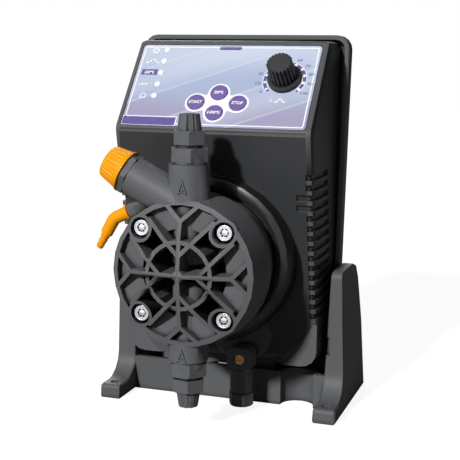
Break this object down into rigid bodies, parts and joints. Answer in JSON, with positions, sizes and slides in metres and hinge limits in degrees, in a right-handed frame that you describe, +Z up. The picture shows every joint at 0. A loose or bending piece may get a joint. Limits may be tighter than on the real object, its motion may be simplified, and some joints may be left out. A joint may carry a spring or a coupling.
{
  "type": "solenoid diaphragm dosing pump",
  "caption": "Wall-bracket dosing pump: solenoid diaphragm head with ribbed cover, hose fittings, bleed valve, drain elbow and sloping control panel.",
  "frame": {"origin": "centre of the bracket's underside", "axes": "+X to the right of someone facing the pump head, +Y to the back, away from the pump head, +Z up"},
  "size_m": [0.1254, 0.1216, 0.1876],
  "materials": {
    "black_plastic": "fine moulded grain, satin",
    "head_plastic": "moulded, smooth satin",
    "orange_plastic": "moulded, half gloss",
    "printed_film": "printed overlay film",
    "key_film": "printed key top",
    "lamp_plastic": "clear white lamp body",
    "knob_plastic": "moulded, satin",
    "board_laminate": "circuit board lacquer",
    "steel": "bright, turned",
    "brass": "bright, turned",
    "iron": "zinc plated magnet iron",
    "copper_winding": "enamelled wire, wound",
    "rubber": "black, dull",
    "fluoropolymer": "white, waxy",
    "ceramic": "polished ball"
  },
  "bodies": {
    "pump": {"base_bracket": "black_plastic", "front_housing": "black_plastic", "rear_cover": "black_plastic", "connector_socket": "black_plastic", "connector_plug": "black_plastic", "connector_gland": "black_plastic", "power_gland": "black_plastic", "power_gland_nut": "black_plastic", "head_backplate": "head_plastic", "pump_head": "head_plastic", "discharge_valve_body": "head_plastic", "discharge_nut": "head_plastic", "discharge_collet": "head_plastic", "suction_valve_body": "head_plastic", "suction_nut": "head_plastic", "suction_collet": "head_plastic", "bleed_body": "head_plastic", "control_label": "printed_film", "led_power": "lamp_plastic", "led_pulse": "lamp_plastic", "led_twenty": "lamp_plastic", "led_hundred": "lamp_plastic", "led_alarm": "lamp_plastic", "control_board": "board_laminate", "cover_screw_1": "steel", "cover_screw_2": "steel", "cover_screw_3": "steel", "cover_screw_4": "steel", "potentiometer": "steel", "head_screw_1": "steel", "head_screw_2": "steel", "head_screw_3": "steel", "head_screw_4": "steel", "return_spring": "steel", "shaft_bush": "brass", "connector_screw": "brass", "solenoid_yoke": "iron", "solenoid_core": "iron", "solenoid_coil": "copper_winding", "cover_gasket": "rubber", "discharge_o_ring": "rubber", "suction_o_ring": "rubber", "bleed_o_ring": "rubber", "diaphragm": "fluoropolymer"},
    "knob": {"control_knob": "knob_plastic", "potentiometer_shaft": "steel"},
    "key_start_cap": {"key_start": "key_film"},
    "key_twenty_cap": {"key_twenty": "key_film"},
    "key_stop_cap": {"key_stop": "key_film"},
    "key_hundred_cap": {"key_hundred": "key_film"},
    "armature": {"armature_shaft": "steel"},
    "discharge_valve_ball": {"discharge_ball": "ceramic"},
    "suction_valve_ball": {"suction_ball": "ceramic"},
    "needle": {"bleed_needle": "head_plastic"},
    "cap": {"bleed_cap": "orange_plastic"},
    "elbow": {"drain_elbow": "orange_plastic"}
  },
  "joints": [
    {"name": "knob_turn", "type": "hinge", "parent": "pump", "child": "knob", "pos_m": [0.0313, -0.02595, 0.16581], "axis": [0, -0.7826, 0.6225], "range_deg": [-125, 125]},
    {"name": "key_start_press", "type": "slide", "parent": "pump", "child": "key_start_cap", "axis": [0, 0.7826, -0.6225], "range_m": [0, 0.0006], "stiffness_N_per_m": 900},
    {"name": "key_twenty_press", "type": "slide", "parent": "pump", "child": "key_twenty_cap", "axis": [0, 0.7826, -0.6225], "range_m": [0, 0.0006], "stiffness_N_per_m": 900},
    {"name": "key_stop_press", "type": "slide", "parent": "pump", "child": "key_stop_cap", "axis": [0, 0.7826, -0.6225], "range_m": [0, 0.0006], "stiffness_N_per_m": 900},
    {"name": "key_hundred_press", "type": "slide", "parent": "pump", "child": "key_hundred_cap", "axis": [0, 0.7826, -0.6225], "range_m": [0, 0.0006], "stiffness_N_per_m": 900},
    {"name": "armature_stroke", "type": "slide", "parent": "pump", "child": "armature", "axis": [0, -1, 0], "range_m": [0, 0.0012], "stiffness_N_per_m": 4000, "deforming": ["return_spring"]},
    {"name": "discharge_ball_lift", "type": "slide", "parent": "pump", "child": "discharge_valve_ball", "axis": [0, 0, 1], "range_m": [0, 0.0012]},
    {"name": "suction_ball_lift", "type": "slide", "parent": "pump", "child": "suction_valve_ball", "axis": [0, 0, 1], "range_m": [0, 0.0012]},
    {"name": "bleed_needle_rise", "type": "slide", "parent": "pump", "child": "needle", "axis": [-0.8894, 0, 0.4571], "range_m": [0, 0.00125]},
    {"name": "bleed_cap_turn", "type": "hinge", "parent": "needle", "child": "cap", "pos_m": [0, -0.071, 0.1074], "axis": [-0.8894, 0, 0.4571], "range_deg": [0, 360]},
    {"name": "elbow_swivel", "type": "hinge", "parent": "pump", "child": "elbow", "pos_m": [-0.0293, -0.071, 0.1049], "axis": [-0.9063, 0, -0.4226], "range_deg": [-60, 60]}
  ],
  "couplings": [
    {"joint": "bleed_cap_turn", "follows": "bleed_needle_rise", "rad_per_m": 5026.5}
  ]
}
